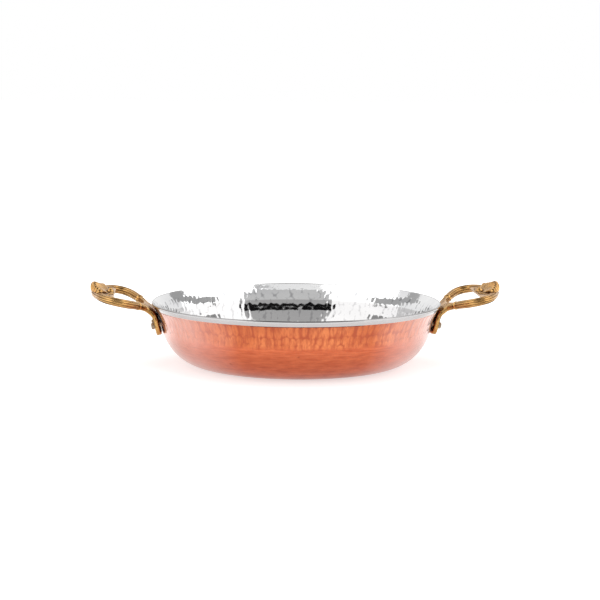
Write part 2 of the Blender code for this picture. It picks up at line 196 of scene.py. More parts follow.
def spun(name, profile, steps):
    """Draws a chain through (radius, height) points and turns it round the pan's axis."""
    start_clean()
    bpy.ops.mesh.primitive_plane_add(size=0.001, location=(0, 0, 0))
    obj = bpy.context.object
    obj.name = name
    bpy.ops.object.mode_set(mode="EDIT")
    bpy.ops.mesh.merge(type="CENTER")
    bpy.ops.transform.translate(value=(profile[0].x, 0, profile[0].y))
    for low, high in zip(profile, profile[1:]):
        step = (high.x - low.x, 0, high.y - low.y)
        bpy.ops.mesh.extrude_region_move(TRANSFORM_OT_translate={"value": step})
    bpy.ops.object.mode_set(mode="OBJECT")
    turn = obj.modifiers.new("turn", "SCREW")
    turn.axis = "Z"
    turn.steps = turn.render_steps = steps
    bpy.ops.object.modifier_apply(modifier=turn.name)
    return close_up(obj)


def points_of(obj):
    """The object's points as an array."""
    places = np.zeros(len(obj.data.vertices) * 3)
    obj.data.vertices.foreach_get("co", places)
    return places.reshape(-1, 3)


def set_points(obj, places):
    """Gives the object's points new places."""
    obj.data.vertices.foreach_set("co", np.ascontiguousarray(places, dtype=np.float32).ravel())
    obj.data.update()


def sink(obj, weights, depth):
    """Moves the surface in by the depth times each point's weight."""
    group = obj.vertex_groups.new(name="hammered")
    for i in np.flatnonzero(weights > 0.002):
        group.add([int(i)], float(weights[i]), "REPLACE")
    only(obj)
    press = obj.modifiers.new("press", "DISPLACE")
    press.direction = "NORMAL"
    press.mid_level = 0
    press.strength = -depth
    press.vertex_group = group.name
    bpy.ops.object.modifier_apply(modifier=press.name)
    obj.vertex_groups.clear()
    return obj


EDGE_MARGIN = 0.00002


def keep_in_box(obj):
    """Files off what a rounder lip has beyond the measured model's sides."""
    places = points_of(obj)
    radii = np.hypot(places[:, 0], places[:, 1])
    share = np.minimum(1, (cad_high.y - EDGE_MARGIN) / np.maximum(radii, 1e-9))
    places[:, :2] *= share[:, None]
    set_points(obj, places)
    return obj


def note(obj, name, values):
    """Stores one number for each point, which a material can read by its name."""
    attribute = obj.data.attributes.new(name, "FLOAT", "POINT")
    attribute.data.foreach_set("value", np.asarray(values, np.float32))


def triangles(obj):
    """How many triangles the object has."""
    return sum(len(face.vertices) - 2 for face in obj.data.polygons)


# %% [markdown]
# ## Hammer marks
# Each blow of the hammer leaves a shallow round hollow, and the next one overlaps it. So the surface is the
# deepest of all the hollows near it, and a crease stands where two of them meet. The blows run in rows round
# the pan. Each has its own small error of place and depth, as a hand has.

# %% Hammer marks
SLIP_SHARE, LIFT_SHARE, SIZE_SHARES = 0.15, 0.14, (0.82, 1.18)
DEEPEST_BLOW = 1.2


def blows(angles, places, local_radius, rows, seed):
    """How deep the blows reach at each point, from 0 to 1.

    A row is (place, half height, half width, pitch, radius of the pan there).
    """
    rng = np.random.default_rng(seed)
    depth = np.zeros(len(angles))
    for place, half_height, half_width, pitch, row_radius in rows:
        count = max(5, round(math.tau * row_radius / pitch))
        shift = rng.uniform(0, 1)
        slips = rng.normal(0, SLIP_SHARE, count)
        lifts = rng.normal(0, LIFT_SHARE, count) * half_height
        sizes = rng.uniform(*SIZE_SHARES, count)
        near = np.flatnonzero(np.abs(places - place) < half_height * 1.5)
        turn = angles[near] / math.tau * count - shift
        for neighbour in (-1, 0, 1):
            column = np.round(turn).astype(int) + neighbour
            k = column % count
            across = (turn - column - slips[k]) * math.tau * local_radius[near] / count / half_width
            down = (places[near] - place - lifts[k]) / half_height
            depth[near] = np.maximum(depth[near], sizes[k] - across**2 - down**2)
    return np.clip(depth, 0, DEEPEST_BLOW) / DEEPEST_BLOW


def fade(value, start, end):
    """0 before the start, 1 after the end and smooth between them."""
    t = np.clip((value - start) / (end - start), 0, 1)
    return t * t * (3 - 2 * t)


# %% [markdown]
# ## The copper bowl
# A coppersmith raises the wall over a stake, then planishes it. Here the photo shows one row of tall blows
# under the lip, smaller ones below it, and a smooth, scoured belly. The band of blows fades out at its foot
# and stops short of the tin. The inner side is under the tin, so it stays coarse.

# %% Copper bowl
ROUND_STEPS = 1024
COPPER_STEPS = (22, 34, 5)
HAMMER_DEPTH = 0.00026
BAND_FOOT, BAND_TOP = (0.0285, 0.0345), (0.0497, 0.0505)
COPPER_ROWS = (
    (0.0462, 0.0068, 0.0034, 0.0058, 0.125),
    (0.0375, 0.0042, 0.0033, 0.0056, 0.122),
    (0.0325, 0.0030, 0.0030, 0.0052, 0.121),
)

cover = SEAT_GAP + TIN_THICKNESS
outside, _ = wall_layer(0, COPPER_STEPS)
_, stepped = wall_layer(cover, COPPER_STEPS)
inside_low, inside_lap = wall_layer(COPPER_THICKNESS, (8, 3, 1))
inside = inside_low + inside_lap[1:]
base_rings = [Vector((BASE_RADIUS * share, 0)) for share in (0, 0.5, 0.97)]
floor_rings = [Vector((0, COPPER_THICKNESS))]
copper_profile = base_rings + outside + stepped + lip_arc(LIP_ROUND - cover, 3) + inside[::-1] + floor_rings
copper = spun("copper_bowl", copper_profile, ROUND_STEPS)

places = points_of(copper)
radii = np.hypot(places[:, 0], places[:, 1])
angles = np.arctan2(places[:, 1], places[:, 0])
heights = places[:, 2]
strength = blows(angles, heights, radii, COPPER_ROWS, 4)
wall_outside = np.interp(heights, [p.y for p in outside], [p.x for p in outside])
outer_side = radii > wall_outside - COPPER_THICKNESS / 2
band = fade(heights, *BAND_FOOT) * (1 - fade(heights, *BAND_TOP))
sink(copper, strength * band * outer_side, HAMMER_DEPTH)
note(copper, "hollow", strength)
copper.data.shade_smooth()
print("copper bowl:", triangles(copper), "triangles")

# %% [markdown]
# ## The tin lining
# Tin is melted in the hot pan and wiped over the copper with a rag. It lies in the hammer marks of the
# inside, laps over the lip and ends in a bright band outside. The band itself is filed smooth. The top of
# the lip is round on its outer side and flatter towards the inside.

# %% Tin lining
TIN_STEPS = (34, 20, 7)
TIN_ROUND_STEPS = 720
FLOOR_RINGS = 46
LIP_SQUARENESS = 4.5
TIN_PITCH, TIN_RIDGE = 0.0056, 0.00022
BLOW_HEIGHT_SHARE, BLOW_WIDTH_SHARE, ROW_STEP_SHARE = 0.66, 0.62, 0.86
FIRST_ROW, SMOOTH_EDGE = 0.0075, (0.0045, 0.0070)
# How much painted shade the lap outside and the top of the lip get
PAINTED_SHADE_LAP, PAINTED_SHADE_TOP = 0.6, (0.35, 0.65)
back_low, back_lap = wall_layer(COPPER_THICKNESS + SEAT_GAP, (6, 3, 1))
face_low, face_lap = wall_layer(LINED_THICKNESS, TIN_STEPS)
_, under = wall_layer(TIN_THICKNESS, (6, 3, 1))
_, over = wall_layer(0, TIN_STEPS)
lap_start = along(LIP_LEAN) * SEAT_GAP
under[0] = under[0] + lap_start
over[0] = over[0] + lap_start
face = (face_low + face_lap[1:])[::-1]
floor_height = face[-1].y
floor_face = [Vector((face[-1].x * (1 - i / FLOOR_RINGS), floor_height)) for i in range(1, FLOOR_RINGS + 1)]
back = [Vector((0, back_low[0].y))] + back_low + back_lap[1:]
tin_profile = back + lip_arc(LIP_ROUND - TIN_THICKNESS, 3)[::-1] + under[::-1]
tin_profile += over + lip_arc(LIP_ROUND, 16, LIP_SQUARENESS) + face + floor_face
tin = spun("tin_skin", tin_profile, TIN_ROUND_STEPS)

# The way down the face, measured from the lip, is where each ring of blows lies
face_run = face + floor_face
run_length = np.concatenate([[0], np.cumsum([(b - a).length for a, b in zip(face_run, face_run[1:])])])
places = points_of(tin)
radii = np.hypot(places[:, 0], places[:, 1])
angles = np.arctan2(places[:, 1], places[:, 0])
ring_points = np.array([tuple(p) for p in face_run])
gaps = np.hypot(radii[:, None] - ring_points[:, 0], places[:, 2][:, None] - ring_points[:, 1])
nearest = gaps.argmin(1)
on_face = gaps.min(1) < 1e-5
down_the_face = run_length[nearest]
tin_rows = []
place = FIRST_ROW
while place < run_length[-1] - TIN_PITCH / 2:
    row_radius = float(np.interp(place, run_length, ring_points[:, 0]))
    half_height, half_width = TIN_PITCH * BLOW_HEIGHT_SHARE, TIN_PITCH * BLOW_WIDTH_SHARE
    tin_rows.append((place, half_height, half_width, TIN_PITCH, row_radius))
    place += TIN_PITCH * ROW_STEP_SHARE
strength = blows(angles, down_the_face, radii, tin_rows, 9)
ridges = (1 - strength) * fade(down_the_face, *SMOOTH_EDGE)
sink(tin, ridges * on_face, -TIN_RIDGE)
note(tin, "hollow", 1 - ridges * on_face)
# The lap outside and the top of the lip are marked for painted shade, a greyer tin
lip_sine, lip_cosine = math.sin(LIP_LEAN), math.cos(LIP_LEAN)
from_middle_out = radii - (RIM_RADIUS - LIP_ROUND * (lip_sine + lip_cosine))
from_middle_up = places[:, 2] - (PAN_HEIGHT - LIP_ROUND * (lip_cosine - lip_sine))
rise_along = from_middle_out * lip_sine + from_middle_up * lip_cosine
out_across = from_middle_out * lip_cosine - from_middle_up * lip_sine
on_lap = (out_across > LIP_ROUND / 2) * PAINTED_SHADE_LAP
on_top = fade(rise_along, LIP_ROUND * PAINTED_SHADE_TOP[0], LIP_ROUND * PAINTED_SHADE_TOP[1])
note(tin, "painted_lip_shade", np.maximum(on_lap, on_top))
keep_in_box(tin)
tin.data.shade_smooth()
print("tin lining:", triangles(tin), "triangles,", len(tin_rows), "rings of blows")

# %% [markdown]
# ## The line of the handle
# Seen from the side the handle is one line: a flat plate on the wall, a bend out under the lip and a low
# arch. Everything on the handle is first thought of flat and then laid on that line.

# %% Sizes and side line of the handle
PLATE_DROP, PLATE_HEIGHT, PLATE_LEAN, PLATE_THICKNESS = 0.0275, 0.0150, math.radians(13), 0.0048
NECK_DROP, NECK_SLOPE, NECK_PULL, NECK_THICKNESS = 0.0072, math.radians(39), 0.0028, 0.0054
LOOP_LENGTH, LOOP_RISE, LOOP_ROOT_PULL, LOOP_TIP_PULL = 0.0505, 0.0088, 0.0170, 0.0200
LOOP_TIP_SLOPE = math.radians(6)
TIP_RADIUS = RIM_RADIUS + LOOP_LENGTH
LINE_STEPS = 40


def wall_radius(height):
    """Outer radius of the wall at a height."""
    below, lapped = wall_curve(7, 4, 3)
    points = below + lapped[1:]
    for low, high in zip(points, points[1:]):
        if low.y <= height <= high.y and high.y > low.y:
            return low.x + (high.x - low.x) * (height - low.y) / (high.y - low.y)
    return RIM_RADIUS


def plate_foot():
    """Bottom of the plate's back: as near the wall as its lean lets it stand."""
    bottom = PAN_HEIGHT - PLATE_DROP
    radius = 0
    for i in range(LINE_STEPS + 1):
        rise = PLATE_HEIGHT * i / LINE_STEPS
        clear = wall_radius(bottom + rise) + SEAT_GAP / math.cos(PLATE_LEAN)
        radius = max(radius, clear - rise * math.tan(PLATE_LEAN))
    return Vector((radius, bottom))


plate_out = Vector((along(PLATE_LEAN).y, -along(PLATE_LEAN).x))
foot = plate_foot() + plate_out * PLATE_THICKNESS / 2
plate_top = foot + along(PLATE_LEAN) * PLATE_HEIGHT
neck_end = Vector((RIM_RADIUS, PAN_HEIGHT - NECK_DROP))
tip_end = Vector((TIP_RADIUS, PAN_HEIGHT + LOOP_RISE))
neck_way = Vector((math.cos(NECK_SLOPE), math.sin(NECK_SLOPE)))
tip_way = Vector((math.cos(LOOP_TIP_SLOPE), math.sin(LOOP_TIP_SLOPE)))
plate_line = [foot + (plate_top - foot) * i / LINE_STEPS for i in range(LINE_STEPS + 1)]
bend_pulls = plate_top + along(PLATE_LEAN) * NECK_PULL, neck_end - neck_way * NECK_PULL
bend_line = bezier(plate_top, *bend_pulls, neck_end, LINE_STEPS)
loop_pulls = neck_end + neck_way * LOOP_ROOT_PULL, tip_end - tip_way * LOOP_TIP_PULL
loop_line = bezier(neck_end, *loop_pulls, tip_end, LINE_STEPS)


class Line:
    """A line of (radius, height) points that gives places and directions for whole arrays at once."""

    def __init__(self, points):
        self.points = np.array([tuple(p) for p in points])
        steps = np.diff(self.points, axis=0)
        self.length = np.concatenate([[0], np.cumsum(np.hypot(steps[:, 0], steps[:, 1]))])
        ways = np.gradient(self.points, axis=0)
        self.ways = ways / np.hypot(ways[:, 0], ways[:, 1])[:, None]

    def at(self, value, by):
        """(places, directions) where the running length, or the radius, has the value."""
        value = np.asarray(value, float)
        known = self.length if by == "length" else self.points[:, 0]
        ways = np.stack([np.interp(value, known, self.ways[:, k]) for k in (0, 1)], -1)
        ways /= np.hypot(ways[..., 0], ways[..., 1])[..., None]
        places = np.stack([np.interp(value, known, self.points[:, k]) for k in (0, 1)], -1)
        beyond = value - np.clip(value, known[0], known[-1])
        slope = ways[..., 0] if by == "radius" else np.ones_like(value)
        return places + ways * (beyond / slope)[..., None], ways


strap_line = Line(plate_line + bend_line[1:] + loop_line[1:])
arch_line = Line(loop_line)


def laid_on_arch(reach, across, lift):
    """Points at a radius and a place across, lifted square to the arch."""
    places, ways = arch_line.at(reach, "radius")
    return np.stack([places[..., 0] - ways[..., 1] * lift, across, places[..., 1] + ways[..., 0] * lift], -1)


print("handle runs", mm(strap_line.length[-1]), "mm from the foot of its plate to its tip")

# %% [markdown]
# ## Plate and neck
# The plate is a thick strap, cast with rounded edges. A grid is rolled into a tube, pressed into a rounded
# rectangle and laid on the side line. Its end is hollow where the opening of the loop begins. From the top
# of the plate on, its faces and edges carry fine reeds.

# %% Plate and neck
PLATE_HALF_WIDTH, PLATE_CORNER, NECK_HALF_WIDTH = 0.0205, 0.0090, 0.0195
NECK_LENGTH, NECK_NOTCH, SQUARENESS = 0.0140, 0.0055, 5
NECK_REED, EDGE_REED, NECK_REED_DEPTH = 0.0024, 0.0015, 0.00035


def rolled_grid(name, around, lengthwise, shape):
    """A grid whose places go through the shape (turn 0 to 1, way 0 to 1), closed into a tube with ends."""
    start_clean()
    bpy.ops.mesh.primitive_grid_add(x_subdivisions=around, y_subdivisions=lengthwise, size=2)
    obj = bpy.context.object
    obj.name = name
    flat = points_of(obj)
    set_points(obj, shape((flat[:, 0] + 1) / 2, (flat[:, 1] + 1) / 2))
    close_up(obj, 2e-7)
    bpy.ops.object.mode_set(mode="EDIT")
    bpy.ops.mesh.select_all(action="DESELECT")
    bpy.ops.mesh.select_non_manifold()
    bpy.ops.mesh.fill_holes(sides=0)
    bpy.ops.mesh.select_all(action="SELECT")
    bpy.ops.mesh.normals_make_consistent(inside=False)
    bpy.ops.object.mode_set(mode="OBJECT")
    return obj


neck_start = float(strap_line.length[2 * LINE_STEPS])


def groove(count):
    """1 in the sharp groove at each whole number, 0 on the round reed between two of them."""
    return 1 - np.abs(np.sin(np.asarray(count) * math.pi)) ** 0.7


def strap_shape(turn, way):
    """Places on the strap for a turn round it and a way along it, each from 0 to 1."""
    station = way * (neck_start + NECK_LENGTH)
    share = np.minimum(1, station / neck_start)
    half_width = PLATE_HALF_WIDTH + (NECK_HALF_WIDTH - PLATE_HALF_WIDTH) * share
    thickness = PLATE_THICKNESS + (NECK_THICKNESS - PLATE_THICKNESS) * share
    short = np.maximum(0, 1 - station / PLATE_CORNER)
    half_width = half_width - PLATE_CORNER * (1 - np.sqrt(1 - short**2))
    angle = turn * math.tau
    across = np.sign(np.cos(angle)) * np.abs(np.cos(angle)) ** (2 / SQUARENESS)
    proud = np.sign(np.sin(angle)) * np.abs(np.sin(angle)) ** (2 / SQUARENESS)
    notch = NECK_NOTCH * (1 - across**2) * np.maximum(0, station - neck_start) / NECK_LENGTH
    places, ways = strap_line.at(station - notch, "length")
    reeded = NECK_REED_DEPTH * fade(station, PLATE_HEIGHT * 0.9, PLATE_HEIGHT * 1.15)
    on_faces = reeded * groove(across * half_width / NECK_REED)
    on_edges = reeded * groove(proud * thickness / 2 / EDGE_REED + 0.5)
    lift = proud * (thickness / 2 - on_faces)
    wide = across * (half_width - on_edges)
    return np.stack([places[:, 0] + ways[:, 1] * lift, wide, places[:, 1] - ways[:, 0] * lift], -1)


STRAP_AROUND, STRAP_LENGTHWISE = 240, 110
strap = rolled_grid("strap", STRAP_AROUND, STRAP_LENGTHWISE, strap_shape)
print("strap:", triangles(strap), "triangles")

# %% [markdown]
# ## The reeded arms
# The loop is one bar that opens wide round the fingers. It is cast with fine beads along it, called reeds.
# The same grid is swept along the loop, with the reeds in its cross section.

# %% Reeded arms
LOOP_HALF_WIDTH, ARM_WIDTH, ARM_THICKNESS = 0.0430, 0.0078, 0.0076
REEDS, REED_DEPTH = 11, 0.00055
ARM_SHARES = (
    (0.00, 0.38, 0.50),
    (0.10, 0.41, 0.66),
    (0.19, 0.52, 0.84),
    (0.28, 0.70, 0.96),
    (0.38, 0.88, 1.00),
    (0.49, 0.98, 1.00),
    (0.60, 0.99, 1.00),
    (0.71, 0.92, 1.00),
    (0.82, 0.72, 1.00),
    (0.90, 0.47, 0.96),
    (0.96, 0.22, 0.94),
    (0.98, 0.00, 0.94),
)


def smooth_course(points, steps):
    """A smooth curve through the points, evenly shared between them."""
    points = np.asarray(points, float)
    place = np.linspace(0, len(points) - 1, steps)
    k = np.minimum(place.astype(int), len(points) - 2)
    t = (place - k)[:, None]
    p0, p1 = points[np.maximum(k - 1, 0)], points[k]
    p2, p3 = points[k + 1], points[np.minimum(k + 2, len(points) - 1)]
    bend = (p0 * 2 - p1 * 5 + p2 * 4 - p3) * t**2
    swing = (p1 * 3 - p0 - p2 * 3 + p3) * t**3
    return (p1 * 2 + (p2 - p0) * t + bend + swing) / 2


one_arm = [(RIM_RADIUS + LOOP_LENGTH * r, LOOP_HALF_WIDTH * w, s) for r, w, s in ARM_SHARES]
COURSE_STEPS = 420
course = smooth_course(one_arm + [(x, -y, s) for x, y, s in one_arm[-2::-1]], COURSE_STEPS)
bar_middle, bar_ways = arch_line.at(course[:, 0], "radius")
bar = np.stack([bar_middle[:, 0], course[:, 1], bar_middle[:, 1]], -1)
bar_up = np.stack([-bar_ways[:, 1], np.zeros(len(course)), bar_ways[:, 0]], -1)
ahead = np.gradient(bar, axis=0)
ahead /= np.linalg.norm(ahead, axis=1)[:, None]
bar_side = np.cross(ahead, bar_up)
bar_side /= np.linalg.norm(bar_side, axis=1)[:, None]
bar_rise = np.cross(bar_side, ahead)


def arm_shape(turn, way):
    """Places on the reeded bar for a turn round it and a way along it, each from 0 to 1."""
    i = np.round(way * (COURSE_STEPS - 1)).astype(int)
    angle = turn * math.tau
    cut = REED_DEPTH * groove(turn * REEDS)
    across = np.cos(angle) * (ARM_WIDTH / 2 - cut)
    proud = np.sin(angle) * (ARM_THICKNESS / 2 - cut)
    return bar[i] + (bar_side[i] * across[:, None] + bar_rise[i] * proud[:, None]) * course[i, 2][:, None]


arms = rolled_grid("arms", REEDS * 10, COURSE_STEPS - 1, arm_shape)
print("arms:", triangles(arms), "triangles")

# %% [markdown]
# ## The collars
# A plain collar on each arm hides the place where the reeds of the neck end and those of the arm begin.

# %% Collars
COLLAR_PLACES, COLLAR_GIRTH, COLLAR_LENGTH = (0.105, 0.895), 1.14, 0.0034


def drawn_ball(name, shape, segments=40, rings=30):
    """A ball whose points go through the shape (its unit places), as one closed lump."""
    start_clean()
    bpy.ops.mesh.primitive_uv_sphere_add(segments=segments, ring_count=rings, radius=1)
    obj = bpy.context.object
    obj.name = name
    set_points(obj, shape(points_of(obj)))
    return close_up(obj, 1e-7)


def collar_shape(place):
    """Shape of the collar at a share of the way along the bar."""
    i = round(place * (COURSE_STEPS - 1))
    size = COLLAR_GIRTH * course[i, 2] / 2

    def shape(ball):
        steps = (bar_side[i] * ARM_WIDTH * size, bar_rise[i] * ARM_THICKNESS * size, ahead[i] * COLLAR_LENGTH)
        return bar[i] + sum(ball[:, k : k + 1] * step for k, step in enumerate(steps))

    return shape


collars = [drawn_ball(f"collar_{k}", collar_shape(place)) for k, place in enumerate(COLLAR_PLACES)]
print("collars:", len(collars), "of", mm(2 * COLLAR_LENGTH), "mm")

# %% [markdown]
# ## The shell at the tip
# The ornament is a scallop shell: lobes that fan out from a hub, swell, and curl down over the outer bar.
# Each lobe starts as a ball that is drawn out along a bent spine. A thin web under them joins them to the
# bar, and a row of beads runs from the hub to each side.

# %% Shell
SHELL_LENGTH, SHELL_OVERHANG, SHELL_HEIGHT = 0.0160, 0.0040, 0.0105
LOBES, FAN = 11, math.radians(140)
HUB = TIP_RADIUS - SHELL_LENGTH
LOBE_SIDE_DROP, LOBE_SIDE_POWER = 0.72, 1.2
LOBE_WIDTH_SHARE, LOBE_WIDEST, LOBE_THICKNESS_SHARE = 0.94, 0.0030, 0.85
SPINE_SHARES = (
    (0.06, 0.10),
    (0.30, 0.26),
    (0.52, 0.50),
    (0.72, 0.74),
    (0.87, 0.80),
    (0.955, 0.60),
    (0.94, 0.30),
    (0.84, 0.10),
)


def bar_distance(angle):
    """How far the middle of the loop's bar lies from the hub, in a direction from above."""
    around = np.arctan2(course[:, 1], course[:, 0] - HUB)
    far = np.hypot(course[:, 0] - HUB, course[:, 1])
    ahead_only = course[:, 0] > HUB - 1e-6
    order = np.argsort(around[ahead_only])
    return np.interp(angle, around[ahead_only][order], far[ahead_only][order])


spine = smooth_course(SPINE_SHARES, 60)
spine_ways = np.gradient(spine, axis=0)


def lobe_shape(angle):
    """Shape of the lobe that points in one direction."""
    side = abs(angle) / (math.pi / 2)
    reach = float(bar_distance(angle)) + SHELL_OVERHANG * (1 - side**2)
    height = SHELL_HEIGHT * (1 - LOBE_SIDE_DROP * side**LOBE_SIDE_POWER)
    widest = min(reach * math.tan(FAN / 2 / LOBES) * LOBE_WIDTH_SHARE, LOBE_WIDEST)

    def shape(ball):
        way = (1 - ball[:, 2]) / 2
        girth = np.sqrt(np.maximum(0, 1 - ball[:, 2] ** 2))
        turn = np.arctan2(ball[:, 1], ball[:, 0])
        place = way * (len(spine) - 1)
        at = np.stack([np.interp(place, range(len(spine)), spine[:, k]) for k in (0, 1)], -1)
        to = np.stack([np.interp(place, range(len(spine)), spine_ways[:, k]) for k in (0, 1)], -1)
        to = to * (reach, height)
        to /= np.maximum(np.hypot(to[:, 0], to[:, 1]), 1e-9)[:, None]
        fullness = 0.22 + 0.78 * np.interp(way, (0, 0.62, 0.85, 1), (0, 1, 0.92, 0.55))
        swell = np.minimum(1, girth * 1.5) * fullness * widest
        thick = np.sin(turn) * swell * LOBE_THICKNESS_SHARE
        out = at[:, 0] * reach - to[:, 1] * thick
        lift = at[:, 1] * height + to[:, 0] * thick
        wide = np.cos(turn) * swell
        x = HUB + out * math.cos(angle) - wide * math.sin(angle)
        y = out * math.sin(angle) + wide * math.cos(angle)
        return laid_on_arch(x, y, lift)

    return shape


lumps = []
for k in range(LOBES):
    angle = FAN * ((k + 0.5) / LOBES - 0.5)
    lumps.append(drawn_ball(f"lobe_{k}", lobe_shape(angle)))

WEB_THICKNESS, WEB_REACH, WEB_LIFT_SHARE = 0.0030, 0.0022, 0.16


def web_shape(ball):
    """A thin plate from behind the hub out to the bar, a little raised towards its edge."""
    far = np.hypot(ball[:, 0], ball[:, 1])
    turn = np.arctan2(ball[:, 1], ball[:, 0])
    reach = np.where(np.abs(turn) < math.pi / 2, bar_distance(np.clip(turn, -1.5, 1.5)), 0)
    inner = WEB_REACH / np.maximum(0.06, np.abs(np.cos(turn)))
    reach = np.where(np.abs(turn) < math.pi / 2, reach, np.minimum(inner, bar_distance(1.5)))
    lift = ball[:, 2] * WEB_THICKNESS / 2 + SHELL_HEIGHT * WEB_LIFT_SHARE * far
    return laid_on_arch(HUB + far * reach * np.cos(turn), far * reach * np.sin(turn), lift)


lumps.append(drawn_ball("web", web_shape, 96, 40))


def bead(name, reach, across, lift, radius, squash=1.0):
    """A round bead on the arch."""

    def shape(ball):
        centre = laid_on_arch(np.array([reach]), np.array([across]), np.array([lift]))
        return centre + ball * radius * (1, 1, squash)

    return drawn_ball(name, shape, 24, 16)


HUB_PLACE, HUB_LIFT, HUB_RADIUS = HUB + 0.0020, 0.0026, 0.0032
BUTTON_LIFT, BUTTON_RADIUS = 0.0048, 0.0015
BEADS, BEAD_START, BEAD_RUN = 6, 0.0036, 0.0200
BEAD_PLACE, BEAD_STEP, BEAD_LIFT = HUB + 0.0002, 0.0006, 0.0014
BEAD_RADIUS, BEAD_TAPER = 0.0020, 0.0006
lumps.append(bead("hub", HUB_PLACE, 0, HUB_LIFT, HUB_RADIUS, 0.8))
lumps.append(bead("button", HUB_PLACE, 0, BUTTON_LIFT, BUTTON_RADIUS))
for side in (-1, 1):
    for k in range(BEADS):
        share = (k + 1) / BEADS
        across = side * (BEAD_START + BEAD_RUN * share)
        radius = BEAD_RADIUS - BEAD_TAPER * share
        lumps.append(bead(f"bead_{side}_{k}", BEAD_PLACE + BEAD_STEP * k, across, BEAD_LIFT, radius))
print("shell:", len(lumps), "lumps")

# %% [markdown]
# ## One casting
# Molten brass leaves no seams. All the lumps are joined and wrapped in one skin of small squares, which also
# rounds every inner corner a little, as the foundry's sand does.

# %% Join and wrap the handle
SKIN_SQUARE = 0.00032


def joined(name, parts):
    """Joins the parts into one object."""
    start_clean()
    for part in parts:
        part.select_set(True)
    bpy.context.view_layer.objects.active = parts[0]
    bpy.ops.object.join()
    parts[0].name = name
    return parts[0]


def applied(obj, kind, **settings):
    """Adds a modifier with the settings and applies it."""
    only(obj)
    modifier = obj.modifiers.new(kind.lower(), kind)
    for key, value in settings.items():
        setattr(modifier, key, value)
    bpy.ops.object.modifier_apply(modifier=modifier.name)
    return obj


right = joined("handle_right", [strap, arms] + collars + lumps)
applied(right, "REMESH", mode="VOXEL", voxel_size=SKIN_SQUARE)
applied(right, "SMOOTH", factor=0.5, iterations=1)
right.data.shade_smooth()
print("handle:", triangles(right), "triangles")

# %% [markdown]
# ## Where dirt and painted shade sit
# Polish reaches the high places of a casting and leaves the low ones dark, and the low ones also get painted
# shade.
# Each point is compared with its neighbours: lower than they are means a recess. The material reads this
# number.

# %% Recesses of the casting
RECESS_ROUNDS, RECESS_SPAN = 10, 0.00022


def mark_recesses(obj, rounds, span):
    """Stores 1 in hollows and 0 on high places in the attribute recess."""
    places = points_of(obj)
    normals = np.zeros(len(places) * 3)
    obj.data.vertex_normals.foreach_get("vector", normals)
    normals = normals.reshape(-1, 3)
    edges = np.zeros(len(obj.data.edges) * 2, int)
    obj.data.edges.foreach_get("vertices", edges)
    a, b = edges.reshape(-1, 2).T
    count = np.bincount(a, minlength=len(places)) + np.bincount(b, minlength=len(places))
    smooth = places.copy()
    for _ in range(rounds):
        for k in range(3):
            total = np.bincount(a, smooth[b, k], len(places)) + np.bincount(b, smooth[a, k], len(places))
            smooth[:, k] = total / np.maximum(count, 1)
    rise = ((smooth - places) * normals).sum(1)
    values = np.clip(0.5 + rise / span, 0, 1)
    note(obj, "recess", values)
    return values


values = mark_recesses(right, RECESS_ROUNDS, RECESS_SPAN)
print("recess from", round(float(values.min()), 2), "to", round(float(values.max()), 2))

# %% [markdown]
# ## The second handle
# Both handles come from one mould. The left one is a copy of the right one, turned half round the pan.

# %% Second handle


def half_turn(obj, name):
    """A copy with its own mesh, turned half round the pan."""
    only(obj)
    bpy.ops.object.duplicate()
    copy = bpy.context.object
    copy.name = name
    bpy.ops.transform.rotate(value=math.pi, orient_axis="Z", center_override=(0, 0, 0))
    bpy.ops.object.transform_apply(location=True, rotation=True, scale=True)
    return copy


left = half_turn(right, "handle_left")
print("left handle reaches", mm(points_of(left)[:, 0].min()), "mm")

# %% [markdown]
# ## The rivets
# Two rivets hold each handle. Outside each has a tall head with a worn edge, inside a wide flat one under
# the food. They are spun like the bowl, then tilted square to the plate.

# %% Rivets
RIVET_SPACING, RIVET_DROP = 0.0230, 0.0188
SHANK_RADIUS, OUTER_HEAD_RADIUS, OUTER_HEAD_HEIGHT = 0.0019, 0.0029, 0.0026
INNER_HEAD_RADIUS, INNER_HEAD_HEIGHT = 0.0042, 0.0012
rivet_rise = (PLATE_DROP - RIVET_DROP) / math.cos(PLATE_LEAN)
rivet_seat = plate_foot() + plate_out * PLATE_THICKNESS + along(PLATE_LEAN) * rivet_rise
rivet_wall = wall_radius(PAN_HEIGHT - RIVET_DROP)
plate_back = plate_foot().x + (PLATE_DROP - RIVET_DROP) * math.tan(PLATE_LEAN)
wall_gap = plate_back - math.sqrt(rivet_wall**2 - (RIVET_SPACING / 2) ** 2)
rivet_depth = PLATE_THICKNESS + wall_gap + LINED_THICKNESS + SEAT_GAP


def head(radius, start, height, steps=5):
    """Profile of a head with a rounded edge, from its seat to its middle."""
    round_off = abs(height) * 0.45
    points = [Vector((radius, start))]
    for i in range(steps + 1):
        angle = math.pi / 2 * i / steps
        out = radius - round_off * (1 - math.cos(angle))
        up = start + height - math.copysign(round_off * (1 - math.sin(angle)), height)
        points.append(Vector((out, up)))
    points.append(Vector((0, start + height * 1.04)))
    return points


def rivet(name, side):
    """One rivet of the right handle, from the head inside the pan to the head on the plate."""
    inner = head(INNER_HEAD_RADIUS, -rivet_depth, -INNER_HEAD_HEIGHT)
    outer = head(OUTER_HEAD_RADIUS, SEAT_GAP, OUTER_HEAD_HEIGHT)
    shank = [Vector((SHANK_RADIUS, -rivet_depth)), Vector((SHANK_RADIUS, SEAT_GAP))]
    made = spun(name, inner[::-1] + shank + outer, 48)
    tilt = Matrix.Rotation(math.pi / 2 + PLATE_LEAN, 4, "Y")
    made.data.transform(Matrix.Translation((rivet_seat.x, side * RIVET_SPACING / 2, rivet_seat.y)) @ tilt)
    made.data.shade_smooth()
    made.data.set_sharp_from_angle(angle=math.radians(50))
    return made


